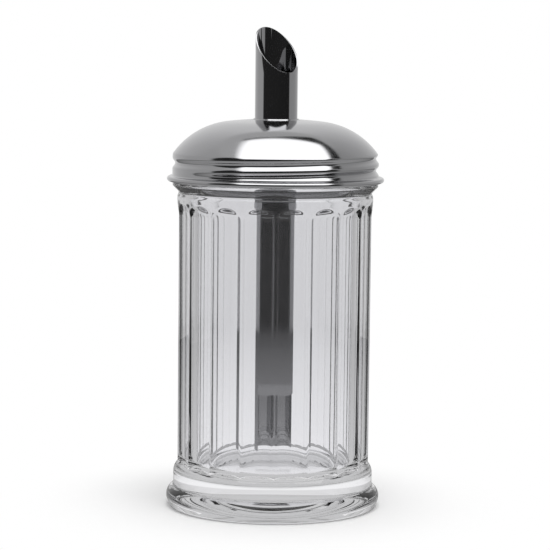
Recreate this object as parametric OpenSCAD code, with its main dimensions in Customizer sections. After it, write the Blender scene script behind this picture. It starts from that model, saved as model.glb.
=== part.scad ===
// Sugar dispenser: a fluted glass jar, a domed screw cap and a dosing tube that is fixed in the cap.
// Millimetres, +Z up. The origin is the centre of the foot, on the table. The spout opens towards -Y.

/* [Jar body] */
// Diameter across the ridges between the flutes
body_d = 70.6; // [60:0.5:90]
// Number of flutes round the body
flute_n = 18; // [12:1:24]
// Hollow of a flute in its middle, below the straight line between its two ridges
flute_hollow = 0.61; // [0.3:0.01:1.2]
// Straight length of the flutes, from the base's flare to where they begin to run out
flute_len = 89.6; // [60:0.1:140]
// Radius on which each flute runs out below the shoulder
flute_runout = 10; // [6:0.5:20]
// Turn of the nearest ridge from the spout's direction when the cap is tight
flute_turn = 6.6; // [0:0.1:20]
// Least thickness of the wall, behind the middle of a flute
jar_wall = 2.8; // [2:0.1:4]
// How much wider the inside is at the mouth than at the floor, on the radius
bore_draft = 0.5; // [0.2:0.1:1]
// Height of the inner floor above the table
floor_h = 15.1; // [12:0.1:24]
// Radius between the inner floor and the wall
floor_round = 4; // [2:0.5:8]

/* [Foot] */
// How far the foot ring stands out from the ridges
foot_step = 3.65; // [2:0.05:5]
// Height of the foot ring's widest line
foot_low_h = 3.9; // [3:0.1:6]
// Radius of the foot ring at its widest line and above it
foot_up_round = 4.1; // [3:0.1:8]
// Angle by which the foot ring draws in below its widest line
foot_lean = 25; // [10:1:35]
// Radius of the foot ring's lower edge
foot_edge_round = 1.4; // [0.8:0.1:2]
// How far the smooth band above the foot ring stands out from the ridges
band_step = 1.1; // [0.6:0.05:1.9]
// Height of the smooth band
band_h = 4.85; // [3:0.05:8]
// Radius on which the band draws in to the flutes
flare_round = 4.3; // [3:0.1:8]
// Width of the flat ring that the jar rests on
rest_w = 3.1; // [1.5:0.1:4]
// Depth of the hollow under the base
punt_depth = 5; // [2:0.1:7]

/* [Shoulder and neck] */
// How far the shoulder stands out from the ridges
shoulder_step = 0.2; // [0.1:0.05:0.6]
// Height of the plain shoulder above the flutes
shoulder_h = 2.5; // [1:0.1:6]
// Depth of the groove between the shoulder and the bead
groove_depth = 0.3; // [0.2:0.05:0.8]
// Height of the groove
groove_h = 1.4; // [1:0.1:3]
// Height of the bead under the cap
bead_h = 3.4; // [2.5:0.1:6]
// How far the bead stands out from the neck
bead_step = 1.9; // [1:0.1:2.4]
// Rounding of the bead
bead_round = 0.8; // [0.4:0.1:1]
// How far the neck's wall lies outside the ridges, on the radius
neck_step = 0.1; // [0:0.05:0.8]
// Height of the neck above the bead
neck_h = 8.8; // [8.4:0.1:14]
// Rounding of the jar's lip
lip_round = 0.6; // [0.3:0.1:1.2]

/* [Screw thread] */
// Rise of the thread in one turn
pitch = 4.2; // [3.8:0.1:5]
// How far the thread stands out from the glass neck
glass_thread_h = 1.15; // [0.8:0.05:1.4]
// Width of the glass thread at its root
glass_thread_w = 1.9; // [1.4:0.1:2.2]
// Depth of the rolled groove in the cap's skirt
roll_depth = 1; // [0.7:0.05:1.1]
// Width of the rolled groove at the skirt's outside
roll_w = 2.6; // [2.2:0.1:3]
// Clearance between the glass thread and the cap's skirt
thread_gap = 0.35; // [0.25:0.05:0.6]

/* [Cap] */
// Thickness of the cap's sheet
sheet_t = 0.5; // [0.4:0.05:0.7]
// How far the dome's edge lies inside the skirt's outside
edge_step = 0.1; // [0:0.05:0.8]
// Radius of the dome's outer edge
edge_round = 1.6; // [0.9:0.1:2]
// Radius of the dome between its edge and its crown
dome_round = 28; // [20:0.5:34]
// Slope of the dome above its edge
dome_slope = 54; // [45:1:65]
// Slope where the crown meets the rounder part of the dome
crown_slope = 6.5; // [3:0.5:8]
// How far the curled rim stands out from the skirt
rim_step = 1.95; // [1.5:0.05:3]
// Radius of the curl on the rim
curl_r = 0.95; // [0.6:0.05:1.1]
// Height of the curl above the jar's bead
rim_gap = 0.3; // [0.25:0.05:1]
// Height of the lip round the tube on the crown
lip_h = 0.1; // [0.05:0.05:0.8]

/* [Tube] */
// Outer diameter of the tube
tube_d = 15.4; // [12:0.1:20]
// Wall of the tube
tube_wall = 0.5; // [0.4:0.05:0.8]
// Height of the spout's tip above the crown
spout_h = 33.6; // [26:0.2:45]
// Angle of the spout's cut, from level
spout_slope = 48.5; // [35:0.5:60]
// Gap between the tube's end and the jar's floor, which sets how the sugar flows in
tube_gap = 5.6; // [4:0.1:10]
// Height of the cut-out that measures the portion
slot_h = 20.7; // [12:0.1:30]
// Angle of the tube's wall that the cut-out takes away
slot_arc = 160; // [120:2:176]

/* [Collar and seal] */
// Thickness of the collar's flange and sleeve
collar_t = 0.8; // [0.6:0.05:1.5]
// How far the flange stands out from the tube
flange_w = 4.5; // [3:0.1:8]
// Height of the collar
collar_h = 7; // [4:0.1:12]
// Thickness of the sealing ring
seal_t = 1.6; // [1:0.1:2.4]
// Height of the dome's edge above the jar's top, where the cap is stopped by the seal
edge_rise = 0.95; // [0.6:0.05:1.4]
// Width that the sealing ring overhangs the lip of the jar, inwards
seal_inset = 0.6; // [0:0.1:1.5]
// Clearance of the seal from the dome, and of the tube from what it is pressed in
fit_gap = 0.05; // [0.02:0.01:0.1]

/* [Hidden] */
$fn = 96;
sink = 0.4;              // depth to which joined shapes run into each other
spout_dir = -90;         // azimuth of the spout

half_flute = 180 / flute_n;
ridge_r = body_d / 2;
flute_mid_r = ridge_r * cos(half_flute) - flute_hollow;
foot_r = ridge_r + foot_step;
band_r = ridge_r + band_step;
flare_end_r = flute_mid_r - 0.25;
blank_r = ridge_r + shoulder_step;
neck_r = ridge_r + neck_step;
// The foot's lower edge and its widest part are two arcs, joined by their common tangent
rest_r = foot_r - foot_up_round
    + (foot_up_round - foot_edge_round - (foot_low_h - foot_edge_round) * sin(foot_lean)) / cos(foot_lean);

// Each arc's height follows from its radius and from how far it draws in
function arc_rise(r, inwards) = sqrt(pow(r, 2) - pow(r - inwards, 2));
foot_h = foot_low_h + arc_rise(foot_up_round, foot_r - band_r);
band_z = foot_h + band_h;
flute_z0 = band_z + arc_rise(flare_round, band_r - flare_end_r);
flute_z1 = flute_z0 + flute_len;
shoulder_z = flute_z1 + arc_rise(flute_runout, blank_r - flute_mid_r) + shoulder_h;
bead_z0 = shoulder_z + groove_h;
bead_z1 = bead_z0 + bead_h;
jar_top = bead_z1 + neck_h;
bore_top_r = flute_mid_r - jar_wall;
bore_floor_r = bore_top_r - bore_draft;

thread_r = neck_r + glass_thread_h;
skirt_in_r = thread_r + thread_gap;
skirt_r = skirt_in_r + sheet_t;
edge_r = skirt_r - edge_step;
edge_z = jar_top + edge_rise;
rim_z = bead_z1 + rim_gap + curl_r;
thread_z0 = jar_top - 0.5;

// The dome is one arc from its edge to the crown, and the crown is a flatter arc. Both arcs and the
// edge's own arc meet without a kink, so each centre follows from the slopes where they meet.
dome_cr = edge_r - edge_round - (dome_round - edge_round) * sin(dome_slope);
dome_cz = edge_z - (dome_round - edge_round) * cos(dome_slope);
crown_r = dome_round + dome_cr / sin(crown_slope);
crown_cz = dome_cz - (crown_r - dome_round) * cos(crown_slope);
crown_top = crown_cz + crown_r;
crown_start_r = crown_r * sin(crown_slope);

tube_r = tube_d / 2;
tube_top = crown_top + spout_h;
tube_z0 = floor_h + tube_gap;
slot_d = tube_r * cos(slot_arc / 2);

// Height of the dome's inner surface at a radius
function dome_in_z(r) = r < crown_start_r
    ? crown_cz + sqrt(pow(crown_r - sheet_t, 2) - r * r)
    : dome_cz + sqrt(pow(dome_round - sheet_t, 2) - pow(r - dome_cr, 2));

// Points of an arc in the r-z plane, from angle a0 to angle a1
function arc_pts(c, r, a0, a1, n) =
    [for (i = [0:n]) c + r * [cos(a0 + (a1 - a0) * i / n), sin(a0 + (a1 - a0) * i / n)]];

// Radius of the cutter that leaves a flute of the set hollow between two ridges
half_ridge = ridge_r * sin(half_flute);
cutter_r = (pow(flute_hollow, 2) + pow(half_ridge, 2)) / (2 * flute_hollow);

// A ridge of trapezoid section that climbs a screw line of the set pitch. It runs from height z0 to z1,
// base_r is where it starts and top_r where it ends on the radius, and over lead degrees at each end
// its top_r fades from end_r.
module screw_ridge(z0, z1, base_r, top_r, end_r, base_w, top_w, lead, offset) {
    step = 7.5;
    a0 = spout_dir + 360 * (z0 - thread_z0 - offset) / pitch;
    n = ceil(360 * (z1 - z0) / pitch / step);
    function fade(i) = min(1, i * step / lead, (n - i) * step / lead);
    function top_at(i) = end_r + (top_r - end_r) * fade(i);
    function half_w(w, i) = w * (0.25 + 0.25 * fade(i));
    function section(i) = [[base_r, -half_w(base_w, i)], [top_at(i), -half_w(top_w, i)],
        [top_at(i), half_w(top_w, i)], [base_r, half_w(base_w, i)]];
    points = [for (i = [0:n]) for (p = section(i))
        let (a = a0 + i * step) [p[0] * cos(a), p[0] * sin(a), z0 + pitch * i * step / 360 + p[1]]];
    outward = top_r > base_r;
    sides = [for (i = [0:n - 1]) for (k = [0:3])
        let (a = 4 * i + k, b = 4 * i + (k + 1) % 4, c = a + 4, d = b + 4)
        each outward ? [[a, b, d], [a, d, c]] : [[a, d, b], [a, c, d]]];
    last = 4 * n;
    first_cap = outward ? [[3, 2, 1], [3, 1, 0]] : [[0, 1, 2], [0, 2, 3]];
    last_cap = outward ? [[last, last + 1, last + 2], [last, last + 2, last + 3]]
        : [[last + 3, last + 2, last + 1], [last + 3, last + 1, last]];
    polyhedron(points, concat(first_cap, sides, last_cap), convexity = 10);
}

// The foot, the smooth band and the flare up to the flutes, with the hollow under the base
module jar_base() {
    punt_r = rest_r - rest_w;
    punt_round = (pow(punt_r, 2) + pow(punt_depth, 2)) / (2 * punt_depth);
    up_end = acos(1 - (foot_r - band_r) / foot_up_round);
    flare_end = acos(1 - (band_r - flare_end_r) / flare_round);
    rotate_extrude() polygon(concat(
        arc_pts([0, punt_depth - punt_round], punt_round, 90, 90 - asin(punt_r / punt_round), 8),
        arc_pts([rest_r, foot_edge_round], foot_edge_round, -90, -foot_lean, 5),
        arc_pts([foot_r - foot_up_round, foot_low_h], foot_up_round, -foot_lean, up_end, 12),
        arc_pts([band_r - flare_round, band_z], flare_round, 0, flare_end, 8),
        [[0, flute_z0]]));
}

// One round profile from the base up to the jar's lip, before the flutes are cut into it
module jar_blank() {
    bead_r = neck_r + bead_step;
    groove_r = neck_r - groove_depth;
    rotate_extrude() polygon(concat(
        [[0, band_z - 1], [blank_r, band_z - 1], [blank_r, shoulder_z]],
        [[groove_r, shoulder_z + 0.6 * groove_h], [groove_r, bead_z0]],
        arc_pts([bead_r - bead_round, bead_z1 - bead_round], bead_round, -50, 90, 7),
        [[neck_r, bead_z1]],
        arc_pts([neck_r - lip_round, jar_top - lip_round], lip_round, 0, 90, 4),
        [[0, jar_top]]));
}

// A round cutter for one flute. Its end is rounded, so that the flute ends in an arch
module flute_cutter() {
    run_angle = 42;
    end_h = flute_runout * sin(run_angle);
    end_r = cutter_r - flute_runout * (1 - cos(run_angle));
    rotate_extrude() {
        translate([0, band_z - 2]) square([cutter_r, flute_z1 - band_z + 2]);
        translate([0, flute_z1 - 1]) square([end_r, end_h + 1]);
        intersection() {
            translate([cutter_r - flute_runout, flute_z1]) circle(flute_runout);
            translate([0, flute_z1 - 1]) square([cutter_r + 1, end_h + 1]);
        }
    }
}

module jar_body() {
    difference() {
        jar_blank();
        for (i = [0:flute_n - 1])
            rotate([0, 0, spout_dir + flute_turn + (2 * i + 1) * half_flute])
                translate([flute_mid_r + cutter_r, 0, 0]) flute_cutter();
    }
}

// What is taken out of the jar: a slightly tapered bore with a round corner at the floor
module jar_bore() {
    taper = atan(bore_draft / (jar_top - floor_h));
    corner = [bore_floor_r - floor_round, floor_h + floor_round];
    rotate_extrude() polygon(concat(
        [[0, floor_h]],
        arc_pts(corner, floor_round, -90, -taper, 8),
        arc_pts([bore_top_r + lip_round, jar_top - lip_round], lip_round, 180 - taper, 90, 4),
        [[bore_top_r + lip_round, jar_top + 1], [0, jar_top + 1]]));
}

module jar() {
    color([0.86, 0.89, 0.88, 0.4]) difference() {
        union() {
            jar_base();
            jar_body();
            screw_ridge(bead_z1 + 2.1, jar_top - 1, neck_r - sink, thread_r, neck_r - 0.1,
                glass_thread_w, 0.45 * glass_thread_w, 30, -pitch / 2);
        }
        jar_bore();
    }
}

// The cap as a plain shell of even sheet, before the thread is rolled in
module cap_shell() {
    edge_c = [edge_r - edge_round, edge_z];
    dome_c = [dome_cr, dome_cz];
    crown_c = [0, crown_cz];
    blend_z = edge_z - 0.6 * edge_round;
    flare_z = rim_z + curl_r + 0.5;
    curl_c = [skirt_r + rim_step - curl_r, rim_z];
    rotate_extrude() polygon(concat(
        arc_pts(crown_c, crown_r, 90, 90 - crown_slope, 4),
        arc_pts(dome_c, dome_round, 90 - crown_slope, 90 - dome_slope, 14),
        arc_pts(edge_c, edge_round, 90 - dome_slope, 0, 5),
        [[skirt_r, blend_z - 1.2], [skirt_r, flare_z]],
        arc_pts(curl_c, curl_r, 110, -140, 10),
        [[skirt_in_r + 0.3, rim_z], [skirt_in_r, flare_z - 0.3], [skirt_in_r, blend_z - 1.2]],
        arc_pts(edge_c, edge_round - sheet_t, 0, 90 - dome_slope, 5),
        arc_pts(dome_c, dome_round - sheet_t, 90 - dome_slope, 90 - crown_slope, 14),
        arc_pts(crown_c, crown_r - sheet_t, 90 - crown_slope, 90, 4)));
}

module cap() {
    hole_r = tube_r + fit_gap;
    // The lip starts in the middle of the sheet, which slopes down from the centre
    lip_z0 = crown_cz + sqrt(pow(crown_r, 2) - pow(hole_r + sheet_t, 2)) - sheet_t / 2;
    roll_z0 = rim_z + curl_r + 0.7;
    roll_z1 = edge_z - 0.2;
    floor_r = skirt_r - roll_depth;
    color([0.72, 0.72, 0.74]) difference() {
        union() {
            cap_shell();
            screw_ridge(roll_z0, roll_z1, skirt_in_r + sheet_t / 2, floor_r - sheet_t, skirt_in_r + 0.1,
                roll_w + sheet_t, 0.4 * roll_w + sheet_t, 60, 0);
            translate([0, 0, lip_z0])
                cylinder(h = crown_top + lip_h - lip_z0, r = hole_r + sheet_t);
        }
        screw_ridge(roll_z0, roll_z1, skirt_r + sink, floor_r, skirt_r + 0.1,
            roll_w + 1.6 * sink, 0.4 * roll_w, 60, 0);
        translate([0, 0, crown_top - 3]) cylinder(h = 6, r = hole_r);
    }
}

module pour_tube() {
    color([0.66, 0.66, 0.69]) difference() {
        translate([0, 0, tube_z0]) cylinder(h = tube_top - tube_z0, r = tube_r);
        translate([0, 0, tube_z0 - 1]) cylinder(h = tube_top - tube_z0 + 2, r = tube_r - tube_wall);
        // The slanted cut passes through the tip, on the side away from the spout's direction
        translate([0, tube_r, tube_top]) rotate([spout_slope, 0, 0])
            translate([-tube_d, -3 * tube_d, 0]) cube([2 * tube_d, 4 * tube_d, 2 * tube_d]);
        translate([-tube_d, -tube_d - slot_d, tube_z0 - 1]) cube([2 * tube_d, tube_d, slot_h + 1]);
    }
}

module tube_collar() {
    flange_r = tube_r + flange_w;
    flange_top = dome_in_z(flange_r) - fit_gap;
    color([0.6, 0.6, 0.62]) difference() {
        union() {
            translate([0, 0, flange_top - collar_h]) cylinder(h = collar_h, r = tube_r + fit_gap + collar_t);
            translate([0, 0, flange_top - collar_t]) cylinder(h = collar_t, r = flange_r);
        }
        translate([0, 0, flange_top - collar_h - 1]) cylinder(h = collar_h + 2, r = tube_r + fit_gap);
    }
}

module seal_ring() {
    inner_r = bore_top_r + lip_round - seal_inset;
    outer_r = skirt_r - roll_depth - sheet_t - thread_gap;
    top_z = jar_top + seal_t;
    corner_z = min(dome_in_z(outer_r) - 3 * fit_gap, top_z - 0.05);
    chamfer_r = outer_r - (top_z - corner_z) / tan(dome_slope - 6);
    color([0.9, 0.9, 0.88]) rotate_extrude() polygon([[inner_r, jar_top], [outer_r, jar_top],
        [outer_r, corner_z], [chamfer_r, top_z], [inner_r, top_z]]);
}

jar();
cap();
pour_tube();
tube_collar();
seal_ring();
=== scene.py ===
# %% [markdown]
# # A table sugar dispenser in glass and stainless steel
# The CAD model gives the pieces at their real size and says what moves. This file dresses it: the
# glass, the pressed cap and the tube are modelled again as fine smooth surfaces, because glass and
# mirror-like metal show every facet. The small seal and collar inside keep their CAD shapes.

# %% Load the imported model
import functools
import math

import bmesh
import bpy
from mathutils import Matrix, Vector


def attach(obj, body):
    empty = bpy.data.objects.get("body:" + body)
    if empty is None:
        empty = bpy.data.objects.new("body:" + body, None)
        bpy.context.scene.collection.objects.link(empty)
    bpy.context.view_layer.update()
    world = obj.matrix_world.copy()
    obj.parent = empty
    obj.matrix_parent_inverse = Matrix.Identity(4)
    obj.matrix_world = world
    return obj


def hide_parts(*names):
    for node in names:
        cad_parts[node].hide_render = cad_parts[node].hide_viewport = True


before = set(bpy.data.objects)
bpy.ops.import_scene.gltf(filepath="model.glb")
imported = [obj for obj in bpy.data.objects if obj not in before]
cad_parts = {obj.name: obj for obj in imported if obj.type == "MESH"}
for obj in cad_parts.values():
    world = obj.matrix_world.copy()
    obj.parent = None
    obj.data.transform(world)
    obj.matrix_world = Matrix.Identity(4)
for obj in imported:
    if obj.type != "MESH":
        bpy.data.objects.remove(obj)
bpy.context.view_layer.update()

# %% [markdown]
# ## Sizes
# The same sizes as in the CAD source, in millimetres. What follows from them is worked out here in
# the same way, so that each new surface lies on its solid.

# %% Sizes, in millimetres
MM = 0.001
RIDGE_R = 35.3          # ridges between the flutes
FLUTES = 18
FLUTE_HOLLOW = 0.61
FLUTE_TURN = 6.6        # degrees from the spout's direction to the nearest ridge
FLUTE_LEN = 89.6
RUNOUT_R = 10.0
FOOT_R = RIDGE_R + 3.65
FOOT_LOW = 3.9          # height of the foot's widest line
FOOT_UP = 4.1
FOOT_LEAN = 25.0        # degrees by which the foot draws in below that line
FOOT_EDGE = 1.4
BAND_R = RIDGE_R + 1.1
BAND_H = 4.85
FLARE_R = 4.3
REST_W = 3.1
PUNT = 5.0
BLANK_R = RIDGE_R + 0.2
SHOULDER_H = 2.5
GROOVE_DEPTH = 0.3
GROOVE_H = 1.4
BEAD_STEP = 1.9
BEAD_H = 3.4
BEAD_ROUND = 0.8
NECK_R = RIDGE_R + 0.1
NECK_H = 8.8
LIP = 0.6
JAR_WALL = 2.8
BORE_DRAFT = 0.5
FLOOR_Z = 15.1
FLOOR_ROUND = 4.0
PITCH = 4.2
THREAD_H = 1.15         # how far the glass thread stands out of the neck
THREAD_DROP = 0.5       # from the jar's top down to the start of the cap's thread
SPOUT_DIR = -90.0       # the spout opens towards -Y


def rise(radius, inwards):
    """Height that an arc takes while it draws in by inwards."""
    return math.sqrt(radius ** 2 - (radius - inwards) ** 2)


HALF = math.radians(180 / FLUTES)
MID_R = RIDGE_R * math.cos(HALF) - FLUTE_HOLLOW
FLARE_END_R = MID_R - 0.25
BAND_Z0 = FOOT_LOW + rise(FOOT_UP, FOOT_R - BAND_R)
BAND_Z1 = BAND_Z0 + BAND_H
FLUTE_Z0 = BAND_Z1 + rise(FLARE_R, BAND_R - FLARE_END_R)
FLUTE_Z1 = FLUTE_Z0 + FLUTE_LEN
SHOULDER_Z = FLUTE_Z1 + rise(RUNOUT_R, BLANK_R - MID_R) + SHOULDER_H
BEAD_Z0 = SHOULDER_Z + GROOVE_H
BEAD_Z1 = BEAD_Z0 + BEAD_H
JAR_TOP = BEAD_Z1 + NECK_H
BORE_TOP_R = MID_R - JAR_WALL
BORE_LOW_R = BORE_TOP_R - BORE_DRAFT
lean = math.radians(FOOT_LEAN)
REST_R = (FOOT_R - FOOT_UP
          + (FOOT_UP - FOOT_EDGE - (FOOT_LOW - FOOT_EDGE) * math.sin(lean)) / math.cos(lean))
print("jar top %.2f, flutes from %.2f to %.2f, middle radius %.2f"
      % (JAR_TOP, FLUTE_Z0, FLUTE_Z1, MID_R))

# %% [markdown]
# ## Helpers
# A turned shape starts as one open or closed line in the XZ plane. `bmesh.ops.spin` turns it once
# round the axis. Afterwards its vertices can be moved in and out to press flutes or a thread in it.

# %% Profiles and spinning


def arc(cr, cz, radius, a0, a1, n):
    """Points (r, z) of an arc round (cr, cz), from angle a0 to a1 in degrees."""
    steps = [math.radians(a0 + (a1 - a0) * i / n) for i in range(n + 1)]
    return [(cr + radius * math.cos(a), cz + radius * math.sin(a)) for a in steps]


def line(p, q, n):
    """Points from p to q, without p itself."""
    return [(p[0] + (q[0] - p[0]) * i / n, p[1] + (q[1] - p[1]) * i / n) for i in range(1, n + 1)]


def turned(profile, steps, closed):
    """A bmesh of the profile (r, z in mm) turned once round Z, in metres."""
    bm = bmesh.new()
    verts = [bm.verts.new((r * MM, 0, z * MM)) for r, z in profile]
    ends = verts[1:] + verts[:1] if closed else verts[1:]
    edges = [bm.edges.new(pair) for pair in zip(verts, ends)]
    bmesh.ops.spin(bm, geom=verts + edges, cent=(0, 0, 0), axis=(0, 0, 1), angle=2 * math.pi,
                   steps=steps, use_merge=True, use_duplicate=False)
    bmesh.ops.remove_doubles(bm, verts=bm.verts, dist=1e-7)
    bmesh.ops.recalc_face_normals(bm, faces=bm.faces)
    return bm


def as_object(bm, name, body, *nodes):
    """A smooth-shaded object from the bmesh. It rides on body and stands for the CAD nodes."""
    mesh = bpy.data.meshes.new(name)
    for face in bm.faces:
        face.smooth = True
    bm.to_mesh(mesh)
    bm.free()
    obj = bpy.data.objects.new(name, mesh)
    bpy.context.scene.collection.objects.link(obj)
    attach(obj, body)
    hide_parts(*nodes)
    triangles = sum(len(p.vertices) - 2 for p in mesh.polygons)
    print(name, len(mesh.vertices), "vertices,", triangles, "triangles")
    return obj


def smooth(x):
    """0 to 1 without a kink, for x from 0 to 1."""
    x = min(1.0, max(0.0, x))
    return x * x * (3 - 2 * x)


def soft_min(a, b, k):
    """The smaller of a and b, with the corner between them rounded over k."""
    h = max(k - abs(a - b), 0) / k
    return min(a, b) - h * h * k / 4


def thread_height(z, theta):
    """Height of the cap's thread line in the direction theta: of its turns, the nearest to z."""
    turn = (math.degrees(theta) - SPOUT_DIR) % 360 / 360
    base = JAR_TOP - THREAD_DROP + PITCH * turn
    lines = [base + PITCH * k for k in range(-4, 2)]
    return min(lines, key=lambda c: abs(c - z))


# %% [markdown]
# ## The glass jar
# The jar is pressed: molten glass is pushed by a plunger into an iron mould. The plunger leaves a
# smooth inside, and the mould leaves 18 hollow flutes with soft ridges. So the jar is spun from one
# closed line, wall and all, and then its outer points are drawn in to the flutes.

# %% Outline of the jar
PUNT_R = REST_R - REST_W
PUNT_ROUND = (PUNT_R ** 2 + PUNT ** 2) / (2 * PUNT)
GROOVE_R = NECK_R - GROOVE_DEPTH
BEAD_R = NECK_R + BEAD_STEP
ROW = 0.2               # fine rows where the base flares in to the flutes
FLARE_ROWS = 25
draft = math.degrees(math.atan(BORE_DRAFT / (JAR_TOP - FLOOR_Z)))
up_end = math.degrees(math.acos(1 - (FOOT_R - BAND_R) / FOOT_UP))
punt_end = 90 - math.degrees(math.asin(PUNT_R / PUNT_ROUND))

under = arc(0, PUNT - PUNT_ROUND, PUNT_ROUND, 90, punt_end, 14)
foot = (arc(REST_R, FOOT_EDGE, FOOT_EDGE, -90, -FOOT_LEAN, 8)
        + arc(FOOT_R - FOOT_UP, FOOT_LOW, FOOT_UP, -FOOT_LEAN, up_end, 16)
        + line((BAND_R, BAND_Z0), (BAND_R, BAND_Z1), 6))
wall = [(BLANK_R, BAND_Z1 + ROW * i) for i in range(1, FLARE_ROWS + 1)]
wall += line(wall[-1], (BLANK_R, FLUTE_Z1 - 1.5), 16)
wall += line(wall[-1], (BLANK_R, SHOULDER_Z - 0.6), 38)
neck = ([(BLANK_R, SHOULDER_Z - 0.3), (BLANK_R - 0.03, SHOULDER_Z),
         (GROOVE_R + 0.15, SHOULDER_Z + 0.5), (GROOVE_R + 0.03, SHOULDER_Z + 0.8),
         (GROOVE_R, SHOULDER_Z + 1.1), (GROOVE_R + 0.04, BEAD_Z0), (GROOVE_R + 0.2, BEAD_Z0 + 0.3)]
        + arc(BEAD_R - BEAD_ROUND, BEAD_Z1 - BEAD_ROUND, BEAD_ROUND, -45, 90, 9)
        + [(NECK_R + 0.3, BEAD_Z1 + 0.02), (NECK_R + 0.06, BEAD_Z1 + 0.14)])
neck += line((NECK_R, BEAD_Z1 + 0.4), (NECK_R, JAR_TOP - LIP), 34)
neck += arc(NECK_R - LIP, JAR_TOP - LIP, LIP, 0, 90, 6)[1:]
inside = (arc(BORE_TOP_R + LIP, JAR_TOP - LIP, LIP, 90, 180 - draft, 6)
          + line((BORE_TOP_R, JAR_TOP - LIP), (BORE_LOW_R + 0.02, FLOOR_Z + FLOOR_ROUND), 20)[:-1]
          + arc(BORE_LOW_R - FLOOR_ROUND, FLOOR_Z + FLOOR_ROUND, FLOOR_ROUND, -draft, -90, 10)
          + line((BORE_LOW_R - FLOOR_ROUND, FLOOR_Z), (0, FLOOR_Z), 8))
jar_profile = under + foot + wall + neck + inside
print("jar outline:", len(jar_profile), "points")

# %% [markdown]
# ## Flutes and thread
# In the iron mould each flute is a round rib. Here each is a large round cutter standing beside the
# jar, and its surface is worked out for every vertex, so that the ridges stay crisp and even. A
# boolean would leave slivers there. The thread is a low ridge added to the neck in the same way.

# %% Press the flutes and the thread
COLUMNS = FLUTES * 24
OUTER = 1.5             # points this far outside the bore are on the jar's outer face
RIDGE_SOFT = 0.4        # rounding of the ridges, and of the flutes' upper ends
FLARE_SOFT = 0.12       # rounding where the flutes meet the base
THREAD_Z0 = BEAD_Z1 + 1.4
THREAD_Z1 = JAR_TOP - 0.9
THREAD_FADE = 0.8       # the thread rises and sinks over this height
THREAD_HALF = 1.0       # half the thread's width
THREAD_FLANK = 0.65     # the part of it that is slope
CUT_R = (FLUTE_HOLLOW ** 2 + (RIDGE_R * math.sin(HALF)) ** 2) / (2 * FLUTE_HOLLOW)


@functools.cache
def flute_radius(theta, z):
    """Radius of the fluted body. Each flute is a round hollow that runs out under the shoulder."""
    turn = theta - math.radians(SPOUT_DIR + FLUTE_TURN)
    off = abs((turn % (2 * HALF)) - HALF)       # angle from the middle of the flute

    def reach(angle):
        """Distance from the axis to the cutter's surface, at angle from the cutter's middle."""
        cut = CUT_R
        if z > FLUTE_Z1:
            up = min(z - FLUTE_Z1, RUNOUT_R * 0.95)
            cut -= RUNOUT_R - math.sqrt(RUNOUT_R ** 2 - up ** 2)
        centre = MID_R + CUT_R
        inside = cut ** 2 - (centre * math.sin(angle)) ** 2
        return centre * math.cos(angle) - math.sqrt(inside) if inside > 0 else 99.0

    here = reach(off)
    next_one = reach(2 * HALF - off)
    return soft_min(here, next_one, RIDGE_SOFT)


def flare_radius(z):
    """Radius of the base where it draws in from the band to the flutes."""
    up = z - BAND_Z1
    if up <= 0:
        return BAND_R
    if up >= FLARE_R:
        return 0.0
    return BAND_R - FLARE_R + math.sqrt(FLARE_R ** 2 - up ** 2)


def spread(theta):
    """Draws the columns together at the ridges, where the surface turns most."""
    turn = theta - math.radians(SPOUT_DIR + FLUTE_TURN)
    n, part = divmod(turn, 2 * HALF)
    u = part / HALF - 1                          # -1 and 1 at the ridges
    u = u * (1.55 - 0.55 * u * u)
    return (n + (u + 1) / 2) * 2 * HALF + math.radians(SPOUT_DIR + FLUTE_TURN)


def press(x, y, z):
    """Where a point of the turned jar goes when the mould and the thread have shaped it."""
    r = math.hypot(x, y)
    if r < 1e-6:
        return x, y, z
    theta = spread(math.atan2(y, x))
    outer = r > BORE_TOP_R + OUTER
    if outer and abs(r - BLANK_R) < 0.01 and BAND_Z1 < z < SHOULDER_Z - 0.05:
        hollow = flute_radius(round(theta, 6), round(max(z, FLUTE_Z1), 4))
        body = soft_min(BLANK_R, hollow, RIDGE_SOFT)
        r = -soft_min(-body, -flare_radius(z), FLARE_SOFT)
    elif outer and BEAD_Z1 + 0.3 < z < JAR_TOP - 0.5:
        mid = thread_height(z + PITCH / 2, theta) - PITCH / 2
        if THREAD_Z0 < mid < THREAD_Z1:
            ends = smooth((mid - THREAD_Z0) / THREAD_FADE) * smooth((THREAD_Z1 - mid) / THREAD_FADE)
            r += THREAD_H * ends * smooth((THREAD_HALF - abs(z - mid)) / THREAD_FLANK)
    return r * math.cos(theta), r * math.sin(theta), z


bm = turned(jar_profile, COLUMNS, closed=False)
for v in bm.verts:
    v.co = Vector(press(*(v.co / MM))) * MM
bmesh.ops.remove_doubles(bm, verts=bm.verts, dist=1e-7)
jar = as_object(bm, "fluted_glass_jar", "jar_body", "jar")

# %% [markdown]
# ## The cap
# The cap is deep drawn from a disc of stainless sheet. Its screw thread is rolled into the skirt, so
# the same groove shows inside as a ridge, and its lower edge is curled outwards so that it can't cut.

# %% Outline of the cap
SHEET = 0.5
THREAD_GAP = 0.35
TUBE_R = 7.7
FIT_GAP = 0.05
SKIRT_IN = NECK_R + THREAD_H + THREAD_GAP
SKIRT_R = SKIRT_IN + SHEET
EDGE_R = SKIRT_R - 0.1
EDGE_Z = JAR_TOP + 0.95
EDGE_ROUND = 1.6
DOME_R = 28.0
DOME_SLOPE = 54.0
CROWN_SLOPE = 6.5
dome_cr = EDGE_R - EDGE_ROUND - (DOME_R - EDGE_ROUND) * math.sin(math.radians(DOME_SLOPE))
dome_cz = EDGE_Z - (DOME_R - EDGE_ROUND) * math.cos(math.radians(DOME_SLOPE))
CROWN_R = DOME_R + dome_cr / math.sin(math.radians(CROWN_SLOPE))
crown_cz = dome_cz - (CROWN_R - DOME_R) * math.cos(math.radians(CROWN_SLOPE))
CROWN_TOP = crown_cz + CROWN_R
RIM_STEP = 1.95
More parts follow.
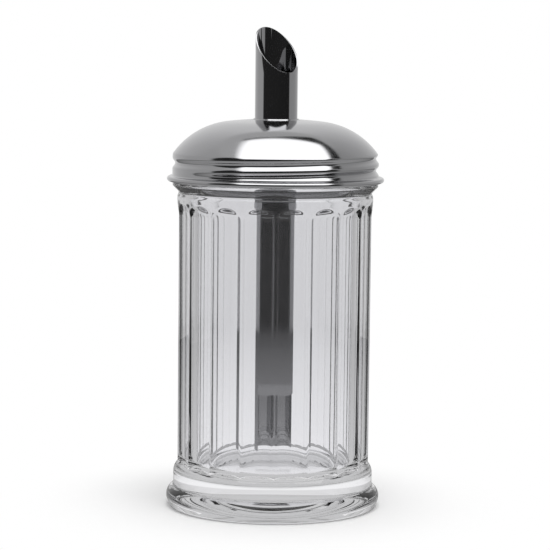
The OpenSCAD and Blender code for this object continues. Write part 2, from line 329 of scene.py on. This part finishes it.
CURL_R = 0.95
RIM_GAP = 0.3
RIM_Z = BEAD_Z1 + RIM_GAP + CURL_R
FLARE_TOP = RIM_Z + CURL_R + 0.5
PLAIN_Z = EDGE_Z - 0.6 * EDGE_ROUND - 1.2     # the skirt's rows are coarser above this
EASE = 0.3              # the inside leaves the skirt this much earlier than the outside
HOLE_R = TUBE_R + FIT_GAP
LIP_TOP = CROWN_TOP + 0.1
LIP_BREAK = 0.1


def dome_side(drop):
    """The crown, the dome and its edge, from the hole outwards, drop inside the outer surface."""
    hole = HOLE_R + SHEET if drop == 0 else HOLE_R
    a_hole = 90 - math.degrees(math.asin(hole / (CROWN_R - drop)))
    return (arc(0, crown_cz, CROWN_R - drop, a_hole, 90 - CROWN_SLOPE, 6)
            + arc(dome_cr, dome_cz, DOME_R - drop, 90 - CROWN_SLOPE, 90 - DOME_SLOPE, 36)[1:]
            + arc(EDGE_R - EDGE_ROUND, EDGE_Z, EDGE_ROUND - drop, 90 - DOME_SLOPE, 0, 8)[1:])


outside = dome_side(0)
outside += line(outside[-1], (SKIRT_R, PLAIN_Z), 10)
outside += line(outside[-1], (SKIRT_R, FLARE_TOP), 40)
outside += arc(SKIRT_R + RIM_STEP - CURL_R, RIM_Z, CURL_R, 110, -140, 16)
back = dome_side(SHEET)[::-1]
inner = [(SKIRT_IN + EASE, RIM_Z), (SKIRT_IN, FLARE_TOP - EASE)]
inner += line(inner[-1], (SKIRT_IN, PLAIN_Z), 40)
inner += line(inner[-1], back[0], 10)[:-1]
lip = [(HOLE_R, LIP_TOP - LIP_BREAK), (HOLE_R + LIP_BREAK, LIP_TOP),
       (HOLE_R + SHEET - LIP_BREAK, LIP_TOP), (HOLE_R + SHEET, LIP_TOP - LIP_BREAK)]
cap_profile = outside + inner + back + lip
print("cap outline:", len(cap_profile), "points; crown at %.2f, rim at %.2f" % (CROWN_TOP, RIM_Z))

# %% [markdown]
# ## The rolled thread
# Rollers press the thread into the skirt from both sides, so the sheet keeps its thickness and the
# groove runs out softly at its ends. Moving the inner and the outer points of the same sheet by the
# same amount does just that. The curled rim below stays round, because it is curled afterwards.

# %% Roll the thread into the skirt
ROLL_DEPTH = 1.0
ROLL_Z0 = RIM_Z + CURL_R + 0.7
ROLL_Z1 = EDGE_Z - 0.2
ROLL_HALF = 2.0         # half the width of the rolled groove, which is round in section
ROLL_LEAD = PITCH * 60 / 360      # the groove runs in and out over 60 degrees
CURL_KEEP = 0.9         # points this far outside the skirt belong to the rim and stay
CURL_EASE = 0.8         # nearer than that by this much, they move in full


def roll(x, y, z):
    """Draws the skirt in along the thread, inside and outside alike."""
    r = math.hypot(x, y)
    if not (r > SKIRT_IN - 0.75 and RIM_Z + 0.3 < z < EDGE_Z + 1.2):
        return x, y, z
    theta = math.atan2(y, x)
    mid = thread_height(z, theta)
    if ROLL_Z0 < mid < ROLL_Z1:
        ends = smooth((mid - ROLL_Z0) / ROLL_LEAD) * smooth((ROLL_Z1 - mid) / ROLL_LEAD)
        section = 0.5 + 0.5 * math.cos(math.pi * min(1, abs(z - mid) / ROLL_HALF))
        deep = ROLL_DEPTH * ends * section * smooth((SKIRT_R + CURL_KEEP - r) / CURL_EASE)
        x, y = x * (r - deep) / r, y * (r - deep) / r
    return x, y, z


CAP_STEPS = 360
bm = turned(cap_profile, CAP_STEPS, closed=True)
for v in bm.verts:
    v.co = Vector(roll(*(v.co / MM))) * MM
print("rolled thread from %.2f to %.2f" % (ROLL_Z0, ROLL_Z1))
cap = as_object(bm, "pressed_steel_cap", "cap_body", "cap")

# %% [markdown]
# ## The dosing tube
# One thin tube does all the work. Its slanted top is the spout, and the half-round cut-out at its
# lower end lets in one portion of sugar each time the jar is tipped. It starts as an open cylinder
# on the inside of the wall, is cut by planes, and only then gets its wall.

# %% Cut the tube
TUBE_WALL = 0.5
TUBE_SIDES = 160
SPARE = 2               # the uncut tube is this much too long
ROWS_FROM, ROW_STEP = 10, 8       # rows that divide the long faces, above its lower end
TUBE_Z0 = FLOOR_Z + 5.6
TUBE_TOP = CROWN_TOP + 33.6
SPOUT_SLOPE = math.radians(48.5)
SLOT_H = 20.7
SLOT_ARC = math.radians(160)
slot_y = -TUBE_R * math.cos(SLOT_ARC / 2)

bm = bmesh.new()
bmesh.ops.create_circle(bm, cap_ends=False, segments=TUBE_SIDES,
                        radius=(TUBE_R - TUBE_WALL) * MM)
bmesh.ops.translate(bm, verts=bm.verts, vec=(0, 0, TUBE_Z0 * MM))
grown = bmesh.ops.extrude_edge_only(bm, edges=bm.edges)
top = [v for v in grown["geom"] if isinstance(v, bmesh.types.BMVert)]
bmesh.ops.translate(bm, verts=top, vec=(0, 0, (TUBE_TOP + SPARE - TUBE_Z0) * MM))


def cut(plane_point, normal, clear):
    """Cuts everything by a plane. With clear, what lies on the normal's side goes."""
    bmesh.ops.bisect_plane(bm, geom=bm.verts[:] + bm.edges[:] + bm.faces[:], dist=1e-7,
                           plane_co=[c * MM for c in plane_point], plane_no=normal,
                           clear_outer=clear, clear_inner=False)


cut((0, TUBE_R, TUBE_TOP), (0, -math.sin(SPOUT_SLOPE), math.cos(SPOUT_SLOPE)), True)
cut((0, 0, TUBE_Z0 + SLOT_H), (0, 0, 1), False)
cut((0, slot_y, 0), (0, -1, 0), False)
centres = [(f, f.calc_center_median() / MM) for f in bm.faces]
gone = [f for f, c in centres if c.z < TUBE_Z0 + SLOT_H and c.y < slot_y]
bmesh.ops.delete(bm, geom=gone, context="FACES")
for z in range(int(TUBE_Z0) + ROWS_FROM, int(TUBE_TOP), ROW_STEP):
    cut((0, 0, z), (0, 0, 1), False)
bmesh.ops.recalc_face_normals(bm, faces=bm.faces)
bmesh.ops.solidify(bm, geom=bm.faces[:], thickness=-TUBE_WALL * MM)
bmesh.ops.recalc_face_normals(bm, faces=bm.faces)       # a wall grown outwards comes inside out
print("tube: %d faces before its edges are broken" % len(bm.faces))

# %% Break the tube's edges
EDGE_BREAK = 0.07       # the burr is taken off and no more, or the thin wall would look rounded
SHARP = math.radians(40)
sharp = [e for e in bm.edges if len(e.link_faces) == 2 and e.calc_face_angle() > SHARP]
bmesh.ops.bevel(bm, geom=sharp, offset=EDGE_BREAK * MM, offset_type="OFFSET", affect="EDGES",
                segments=2, profile=0.5, material=-1, clamp_overlap=True)
tube = as_object(bm, "dosing_tube", "cap_body", "pour_tube")
radii = [math.hypot(v.co.x, v.co.y) / MM for v in tube.data.vertices]
print("tube r %.3f to %.3f" % (min(radii), max(radii)))

# %% [markdown]
# ## Colours and nodes
# Colours are written as sRGB hex values, as a colour picker gives them, and Blender wants them
# linear, so one function turns them. A shader tree is a chain of small nodes. One helper adds any of
# them: what it is given for a socket is either a number to set or another node to link.

# %% Colour and node helpers


def linear(hex_colour):
    """An sRGB hex colour as a linear RGBA."""
    channels = [int(hex_colour[i:i + 2], 16) / 255 for i in (1, 3, 5)]
    return [c / 12.92 if c <= 0.04045 else ((c + 0.055) / 1.055) ** 2.4 for c in channels] + [1]


def node(tree, kind, sockets, stops=(), **settings):
    """Adds one node. A socket gets a number, a colour, an output or a node, which gives its first
    output. Stops are the (place, grey level) pairs of a colour ramp, in order."""
    new = tree.nodes.new(kind)
    for key, value in settings.items():
        setattr(new, key, value)
    for key, value in sockets.items():
        if isinstance(value, bpy.types.Node):
            value = value.outputs[0]
        if isinstance(value, bpy.types.NodeSocket):
            tree.links.new(value, new.inputs[key])
        else:
            new.inputs[key].default_value = value
    for i, (place, level) in enumerate(stops):
        bar = new.color_ramp.elements
        if 0 < i < len(stops) - 1:
            element = bar.new(place)
        else:
            element = bar[0 if i == 0 else -1]
        element.position = place
        element.color = (level, level, level, 1)
    return new


def finish_named(name):
    """A new material with its Principled shader, ready for its own nodes."""
    mat = bpy.data.materials.new(name)
    mat.use_nodes = True
    return mat, mat.node_tree, mat.node_tree.nodes["Principled BSDF"]


def wear(obj, mat):
    """Gives a piece or a CAD node one material."""
    obj.data.materials.clear()
    obj.data.materials.append(mat)


# %% [markdown]
# ## Glass
# The jar is pressed soda-lime glass with an IOR of 1.52. A press leaves it smooth but not flat: the
# plunger and the mould chill it unevenly, and slow waves of about a centimetre bend what is seen
# through it. A very faint grey keeps the heavy base from looking like water. A textured or tinted
# glass would hide the flutes, so all the life comes from a weak bump in the shader's normal.

# %% Pressed soda-lime glass
GLASS_WAVE = 10.0       # mm
glass, t, shader = finish_named("soda_lime_glass_pressed")
shader.inputs["Base Color"].default_value = linear("#F6F6F8")
shader.inputs["Roughness"].default_value = 0.0
shader.inputs["IOR"].default_value = 1.52
shader.inputs["Transmission Weight"].default_value = 1.0
coord = node(t, "ShaderNodeTexCoord", {})
wave = node(t, "ShaderNodeTexNoise",
            {"Vector": coord.outputs["Object"], "Scale": 1000 / GLASS_WAVE, "Detail": 1.0})
bump = node(t, "ShaderNodeBump", {"Height": wave.outputs[0], "Strength": 0.2, "Distance": 0.0001})
t.links.new(bump.outputs["Normal"], shader.inputs["Normal"])
wear(jar, glass)
print("glass: waves of", GLASS_WAVE, "mm")

# %% [markdown]
# ## Stainless steel
# The cap is polished stainless sheet and the tube is bright drawn. Both mirror the room, so most of
# their look is the room, and the surface only has to break the mirror a little. Spinning and
# polishing leave rings round the axis some hundredths of a millimetre wide, too fine to show, so
# they are drawn a few tenths wide. Fingers leave soft clouds, which change the roughness and, by a
# hair, the colour. A metal keeps the default IOR.

# %% Polished and drawn steel
CLOUD_MM = 15


def steel(name, colour, rough, ring_mm, depth_mm):
    """Stainless steel with rings round its axis, ring_mm apart, and clouds of wear."""
    mat, t, shader = finish_named(name)
    shader.inputs["Metallic"].default_value = 1.0
    coord = node(t, "ShaderNodeTexCoord", {})
    parts = node(t, "ShaderNodeSeparateXYZ", {"Vector": coord.outputs["Object"]})
    flat = node(t, "ShaderNodeVectorMath", {0: coord.outputs["Object"], 1: (1, 1, 0)},
                operation="MULTIPLY")
    radius = node(t, "ShaderNodeVectorMath", {0: flat}, operation="LENGTH")
    profile = node(t, "ShaderNodeCombineXYZ",
                   {"X": radius.outputs["Value"], "Z": parts.outputs["Z"]})
    ring = node(t, "ShaderNodeTexNoise",
                {"Vector": profile, "Scale": 1000 / ring_mm, "Detail": 2.0})
    cloud = node(t, "ShaderNodeTexNoise",
                 {"Vector": coord.outputs["Object"], "Scale": 1000 / CLOUD_MM, "Detail": 2.0})
    both = node(t, "ShaderNodeMath", {0: ring, 1: cloud}, operation="ADD")
    level = node(t, "ShaderNodeMapRange", {"Value": both, "From Min": 0.7, "From Max": 1.3,
                                           "To Min": rough * 0.8, "To Max": rough * 1.25})
    t.links.new(level.outputs["Result"], shader.inputs["Roughness"])
    worn = [c * 0.96 for c in linear(colour)[:3]] + [1]
    tint = node(t, "ShaderNodeMix", {"Factor": cloud.outputs[0], "A": linear(colour), "B": worn},
                data_type="RGBA")
    t.links.new(tint.outputs["Result"], shader.inputs["Base Color"])
    bump = node(t, "ShaderNodeBump", {"Height": ring, "Strength": 0.2, "Distance": depth_mm / 1000})
    t.links.new(bump.outputs["Normal"], shader.inputs["Normal"])
    print(name, "roughness", rough, "rings", ring_mm, "mm")
    return mat


wear(cap, steel("stainless_steel_polished_sheet", "#C6C6C8", 0.11, 0.5, 0.004))
wear(tube, steel("stainless_steel_bright_drawn", "#C2C2C4", 0.06, 0.8, 0.002))
wear(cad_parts["tube_collar"], steel("stainless_steel_turned", "#B4B4B4", 0.3, 0.3, 0.01))

# %% [markdown]
# ## Seal
# A soft seal is moulded food-grade silicone: translucent white, matte, with a fine dusting of
# specks. It hides under the cap, and shows only when the cap is off.

# %% Food-grade silicone
SPECKS = 900.0          # per metre
seal, t, shader = finish_named("food_grade_silicone_moulded")
shader.inputs["Roughness"].default_value = 0.6
coord = node(t, "ShaderNodeTexCoord", {})
speck = node(t, "ShaderNodeTexNoise",
             {"Vector": coord.outputs["Object"], "Scale": SPECKS, "Detail": 2.0})
tint = node(t, "ShaderNodeMix",
            {"Factor": speck.outputs[0], "A": linear("#D9D9D2"), "B": linear("#E8E8E2")},
            data_type="RGBA")
t.links.new(tint.outputs["Result"], shader.inputs["Base Color"])
wear(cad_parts["seal_ring"], seal)
print("silicone: specks of %.1f mm" % (1000 / SPECKS))

# %% [markdown]
# ## Materials
# The part's record names its materials by slot. The pieces wear the materials made above: glass on
# the jar, steel on the cap, the tube and the collar, silicone on the seal.

# %% Materials
print("materials: glass on the jar; steel on the cap, the tube and the collar; silicone on the seal")

# %% [markdown]
# ## Camera
# The photograph was taken from a little above, 34 degrees to the left of the way the spout opens,
# with a long lens. The numbers come from fitting the object's outline to the photograph's.

# %% Camera
CAMERA_TURN = math.radians(34)
CAMERA_DOWN = math.radians(5.9)
CAMERA_FAR = 0.874
AIM_HEIGHT, AIM_RIGHT = 0.0846, 0.00018
ROLL = math.radians(0.6)          # the object leans by this in the photograph
SENSOR_W = 36                     # mm
FOCAL_PIXELS, IMAGE_PIXELS = 2400, 550
towards = Vector((-math.sin(CAMERA_TURN), -math.cos(CAMERA_TURN), 0))
right = Vector((math.cos(CAMERA_TURN), -math.sin(CAMERA_TURN), 0))
AIM = Vector((0, 0, AIM_HEIGHT)) + right * AIM_RIGHT
UP = Vector((0, 0, 1))
place = AIM + CAMERA_FAR * (math.cos(CAMERA_DOWN) * towards + math.sin(CAMERA_DOWN) * UP)
ahead = (AIM - place).normalized()
side = ahead.cross(UP).normalized()
above = side.cross(ahead)
side, above = (side * math.cos(ROLL) + above * math.sin(ROLL),
               above * math.cos(ROLL) - side * math.sin(ROLL))
camera = bpy.data.objects.new("camera", bpy.data.cameras.new("camera"))
camera.data.sensor_width = SENSOR_W
camera.data.lens = SENSOR_W * FOCAL_PIXELS / IMAGE_PIXELS
camera.matrix_world = Matrix((side, above, -ahead)).transposed().to_4x4()
camera.location = place
bpy.context.scene.collection.objects.link(camera)
bpy.context.scene.camera = camera
print("camera at", [round(c, 4) for c in place])

# %% [markdown]
# ## Which rays come from the steel
# In the photograph the steel mirrors a much darker room than the glass shows. A light path doesn't
# say what mirrored it, but it counts how often it has crossed glass. With no crossing it was
# mirrored by the cap, the spout or the jar's outer face, and all of these show the room in front.
# With four it went in through the jar's wall, met the tube and came out again. With one to three it
# was mirrored inside the glass.

# %% Which rays come from the steel
WALL_LOW, WALL_FAR = 1.0, 0.82    # brightness seen through the glass, low and far away
SIDEWAYS = 0.22                   # a ray steeper than this has not gone in and out by the wall


def steel_ray(tree, path, steep):
    """1 for a mirrored ray that crossed no glass, or four times and not too steeply, else 0."""
    crossed = path.outputs["Transmission Depth"]
    mirrored = node(tree, "ShaderNodeMath", {0: path.outputs["Glossy Depth"], 1: 0.5},
                    operation="GREATER_THAN")
    outside = node(tree, "ShaderNodeMath", {0: crossed, 1: 0.5}, operation="LESS_THAN")
    inside = node(tree, "ShaderNodeMath", {0: crossed, 1: 3.5}, operation="GREATER_THAN")
    flat = node(tree, "ShaderNodeMath", {0: steep, 1: SIDEWAYS}, operation="LESS_THAN")
    inside = node(tree, "ShaderNodeMath", {0: inside, 1: flat}, operation="MULTIPLY")
    either = node(tree, "ShaderNodeMath", {0: outside, 1: inside}, operation="MAXIMUM")
    return node(tree, "ShaderNodeMath", {0: mirrored, 1: either}, operation="MULTIPLY")


print("walls behind the glass from", WALL_LOW, "to", WALL_FAR)

# %% [markdown]
# ## Table
# A plain white table. For the camera it is lit near the jar like any matt surface and so carries the
# shadow, and further out it turns to the photograph's pure white. Glass and steel gather light from
# all of the table at once, and its lit part would draw hard black lines in the base. So rays that
# have gone through the glass or off a mirror see it as plain glowing grey instead, which further out
# becomes the grey of the studio wall behind, so no edge shows there.

# %% Table
TABLE_R = 0.5
bm = bmesh.new()
bmesh.ops.create_circle(bm, cap_ends=True, segments=128, radius=TABLE_R)
mesh = bpy.data.meshes.new("table")
bm.to_mesh(mesh)
bm.free()
table = bpy.data.objects.new("table", mesh)
bpy.context.scene.collection.objects.link(table)

# %% What each kind of ray sees of the table
LIT_TO, WHITE_FROM = 0.042, 0.1   # m from the middle: lit up to here, pure white past there
BY_STEEL_NEAR, BY_STEEL_FAR = 0.42, 0.12
BY_GLASS = 0.6                    # share that is left where the glass mirrors the table
mat, t, shader = finish_named("white_table")
shader.inputs["Base Color"].default_value = linear("#F4F4F4")
shader.inputs["Roughness"].default_value = 0.9
path = node(t, "ShaderNodeLightPath", {})
coord = node(t, "ShaderNodeTexCoord", {})
far = node(t, "ShaderNodeVectorMath", {0: coord.outputs["Object"]}, operation="LENGTH")
fade = node(t, "ShaderNodeMapRange",
            {"Value": far.outputs["Value"], "From Min": LIT_TO, "From Max": WHITE_FROM},
            interpolation_type="SMOOTHSTEP")
behind = node(t, "ShaderNodeMapRange",
              {"Value": far.outputs["Value"], "From Min": WHITE_FROM, "From Max": TABLE_R,
               "To Min": WALL_LOW, "To Max": WALL_FAR})
dusk = node(t, "ShaderNodeMapRange",
            {"Value": far.outputs["Value"], "From Min": 0.15, "From Max": TABLE_R,
             "To Min": BY_STEEL_NEAR, "To Max": BY_STEEL_FAR})
by_steel = steel_ray(t, path, 0.0)
by_glass = node(t, "ShaderNodeMath", {0: path.outputs["Glossy Depth"], 1: 0.5},
                operation="GREATER_THAN")
shade = node(t, "ShaderNodeMapRange", {"Value": by_glass, "To Min": 1.0, "To Max": BY_GLASS})
behind = node(t, "ShaderNodeMath", {0: behind, 1: shade}, operation="MULTIPLY")
behind = node(t, "ShaderNodeMix", {"Factor": by_steel, 2: behind, 3: dusk.outputs[0]})
bright = node(t, "ShaderNodeMath", {0: path.outputs["Is Camera Ray"], 1: behind},
              operation="MAXIMUM")
shown = node(t, "ShaderNodeMath", {0: path.outputs["Is Camera Ray"], 1: fade},
             operation="MULTIPLY")
shown = node(t, "ShaderNodeMath", {0: shown, 1: path.outputs["Is Glossy Ray"]},
             operation="MAXIMUM")
lift = node(t, "ShaderNodeMath", {0: shown, 1: path.outputs["Is Transmission Ray"]},
            operation="MAXIMUM")
glow = node(t, "ShaderNodeEmission", {"Strength": bright})
mix = node(t, "ShaderNodeMixShader", {0: lift, 1: shader, 2: glow})
t.links.new(mix.outputs["Shader"], t.nodes["Material Output"].inputs["Surface"])
wear(table, mat)
print("table", 2 * TABLE_R, "m across, lit up to", LIT_TO, "m from its middle")

# %% [markdown]
# ## Studio
# Polished steel shows its surroundings, so the studio has to be there: a white wall behind that
# darkens round the sides, a dark room behind the camera, which draws the black band down the tube,
# a ceiling, and a large soft window in it with a dark frame. A directional world holds all of that
# without noise. The window is laid out on the ceiling's plane: across is to the camera's right and
# away is from the camera, each divided by the height.

# %% Directions in the studio
LOWEST = 0.02           # keeps the two divisions by the height finite
world = bpy.data.worlds.new("studio")
bpy.context.scene.world = world
world.use_nodes = True
t = world.node_tree
way = node(t, "ShaderNodeTexCoord", {}).outputs["Generated"]
parts = node(t, "ShaderNodeSeparateXYZ", {"Vector": way})
height = node(t, "ShaderNodeMath", {0: parts.outputs["Z"], 1: LOWEST}, operation="MAXIMUM")
to_right = node(t, "ShaderNodeVectorMath", {0: way, 1: right}, operation="DOT_PRODUCT")
to_camera = node(t, "ShaderNodeVectorMath", {0: way, 1: towards}, operation="DOT_PRODUCT")
across = node(t, "ShaderNodeMath", {0: to_right.outputs["Value"], 1: height}, operation="DIVIDE")
away = node(t, "ShaderNodeMath", {0: to_camera.outputs["Value"], 1: height}, operation="DIVIDE")
away = node(t, "ShaderNodeMath", {0: away, 1: -1.0}, operation="MULTIPLY")
level_way = node(t, "ShaderNodeVectorMath", {0: way, 1: (1, 1, 0)}, operation="MULTIPLY")
level_way = node(t, "ShaderNodeVectorMath", {0: level_way}, operation="NORMALIZE")
to_front = node(t, "ShaderNodeVectorMath", {0: level_way, 1: towards}, operation="DOT_PRODUCT")
to_side = node(t, "ShaderNodeVectorMath", {0: level_way, 1: right}, operation="DOT_PRODUCT")
facing = node(t, "ShaderNodeMapRange",
              {"Value": to_front.outputs["Value"], "From Min": -1.0, "From Max": 1.0})
print("studio: camera towards", [round(c, 3) for c in towards])

# %% Walls round the object
# (degrees from the camera's side, brightness): first what the steel mirrors, then what is seen
# through the glass
WALLS = [(180, 0.75), (166, 0.72), (157, 0.65), (150, 0.60), (140, 0.53), (130, 0.49), (115, 0.43),
         (95, 0.41), (77, 0.40), (72, 0.02), (0, 0.02)]
BEHIND = [(180, 1.0), (150, 1.0), (122, 0.8), (66, 0.6), (40, 0.85), (0, 0.85)]
LEFT_WALL, RIGHT_WALL = 1.12, 0.88          # the room is a little lighter on the left
CEILING = 0.52
CEILING_FROM, CEILING_TO = 0.77, 0.82       # height of the direction where the ceiling begins


def by_turn(levels):
    """Stops for a ramp over facing, from levels by degrees."""
    return [((1 + math.cos(math.radians(turn))) / 2, level) for turn, level in levels]


walls = node(t, "ShaderNodeValToRGB", {"Fac": facing}, stops=by_turn(WALLS))
uneven = node(t, "ShaderNodeMapRange",
              {"Value": to_side.outputs["Value"], "From Min": -1.0, "From Max": 1.0,
               "To Min": LEFT_WALL, "To Max": RIGHT_WALL})
walls = node(t, "ShaderNodeMath", {0: walls.outputs["Color"], 1: uneven}, operation="MULTIPLY")
high = node(t, "ShaderNodeMapRange",
            {"Value": parts.outputs["Z"], "From Min": CEILING_FROM, "From Max": CEILING_TO})
room = node(t, "ShaderNodeMix", {"Factor": high, 2: walls, 3: CEILING})
behind = node(t, "ShaderNodeValToRGB", {"Fac": facing}, stops=by_turn(BEHIND))
behind = node(t, "ShaderNodeMath", {0: behind.outputs["Color"], 1: WALL_FAR}, operation="MULTIPLY")
print("walls: %d brightnesses off the steel, %d through the glass" % (len(WALLS), len(BEHIND)))

# %% [markdown]
# ## Window
# The bright patch on the dome is a window in the ceiling, and its outline there is bent by the dome.
# Each edge of the window is a straight line on the ceiling's plane, so it is a ramp over one sum of
# across and away, and the product of the ramps is the pane. The dark frame is made the same way.

# %% Window and its frame
WINDOW_LIGHT, FRAME_DARK = 1.9, 0.02
slant = node(t, "ShaderNodeMath", {0: away, 1: -0.49, 2: across}, operation="MULTIPLY_ADD")
corner = node(t, "ShaderNodeMath", {0: away, 1: across}, operation="ADD")
window = node(t, "ShaderNodeMapRange", {"Value": away, "From Min": 0.36, "From Max": 0.30})
for value, dark_at, light_at in ((slant, -0.51, -0.39), (corner, 0.84, 0.74), (away, -1.35, -1.15)):
    edge = node(t, "ShaderNodeMapRange", {"Value": value, "From Min": dark_at, "From Max": light_at})
    window = node(t, "ShaderNodeMath", {0: window, 1: edge}, operation="MULTIPLY")
right_part = node(t, "ShaderNodeMath", {0: across, 1: 0.0}, operation="MAXIMUM")
far_edge = node(t, "ShaderNodeMath", {0: right_part, 1: -0.5, 2: away}, operation="MULTIPLY_ADD")
right_edge = node(t, "ShaderNodeMath", {0: away, 1: 1.8, 2: across}, operation="MULTIPLY_ADD")
bars = node(t, "ShaderNodeMapRange", {"Value": far_edge, "From Min": 0.42, "From Max": 0.38})
for value, dark_at, light_at in ((right_edge, 1.35, 1.27), (across, -0.33, -0.27),
                                 (away, -0.15, -0.07)):
    edge = node(t, "ShaderNodeMapRange", {"Value": value, "From Min": dark_at, "From Max": light_at})
    bars = node(t, "ShaderNodeMath", {0: bars, 1: edge}, operation="MULTIPLY")
room = node(t, "ShaderNodeMix", {"Factor": bars, 2: room, 3: FRAME_DARK})
room = node(t, "ShaderNodeMix", {"Factor": window, 2: room, 3: WINDOW_LIGHT})
print("window of brightness", WINDOW_LIGHT, "in a frame of", FRAME_DARK)

# %% [markdown]
# ## What each kind of ray meets
# The camera sees pure white behind the object. Rays mirrored by steel see the room with its window,
# and rays through the glass see the pale walls. All other rays carry the studio's even light.

# %% What each kind of ray meets
BACKGROUND = 1.0
EVEN_LIGHT = 0.9
GLASS_SHADE = 0.75      # the glass mirrors the walls a little darker than they show straight through
path = node(t, "ShaderNodeLightPath", {})
steep = node(t, "ShaderNodeMath", {0: parts.outputs["Z"]}, operation="ABSOLUTE")
by_steel = steel_ray(t, path, steep)
by_glass = node(t, "ShaderNodeMath", {0: path.outputs["Glossy Depth"], 1: 0.5},
                operation="GREATER_THAN")
softened = node(t, "ShaderNodeMath", {0: behind, 1: GLASS_SHADE}, operation="MULTIPLY")
behind = node(t, "ShaderNodeMix", {"Factor": by_glass, 2: behind, 3: softened})
seen = node(t, "ShaderNodeMix", {"Factor": by_steel, 2: behind, 3: room})
shine = node(t, "ShaderNodeMath",
             {0: path.outputs["Is Glossy Ray"], 1: path.outputs["Is Transmission Ray"]},
             operation="MAXIMUM")
lit = node(t, "ShaderNodeMix", {"Factor": shine, 2: EVEN_LIGHT, 3: seen})
plain = node(t, "ShaderNodeMix", {"Factor": path.outputs["Is Camera Ray"], 2: lit, 3: BACKGROUND})
t.links.new(plain.outputs[0], t.nodes["Background"].inputs["Color"])
bpy.context.scene.view_settings.view_transform = "Standard"
print("studio made with", len(t.nodes), "nodes")

# %% [markdown]
# ## Window light
# The window also has to light the table and cast the soft shadow. An area lamp where the window is
# does that. Mirrors see the painted window and not the lamp, or the highlight would show twice.

# %% Soft window light
LAMP_POWER = 4                    # W
LAMP_W, LAMP_L = 0.6, 0.5         # m
LAMP_AIM = Vector((0, 0, 0.13))
lamp = bpy.data.objects.new("window", bpy.data.lights.new("window", "AREA"))
lamp.data.shape = "RECTANGLE"
lamp.data.size = LAMP_W
lamp.data.size_y = LAMP_L
lamp.data.energy = LAMP_POWER
lamp.location = towards * 0.4 + Vector((0, 0, 1.0)) + right * 0.1
lamp.rotation_euler = (LAMP_AIM - lamp.location).to_track_quat("-Z", "Y").to_euler()
lamp.visible_glossy = False
lamp.visible_transmission = False
bpy.context.scene.collection.objects.link(lamp)
print("window light of", LAMP_POWER, "W,", LAMP_W, "by", LAMP_L, "m")
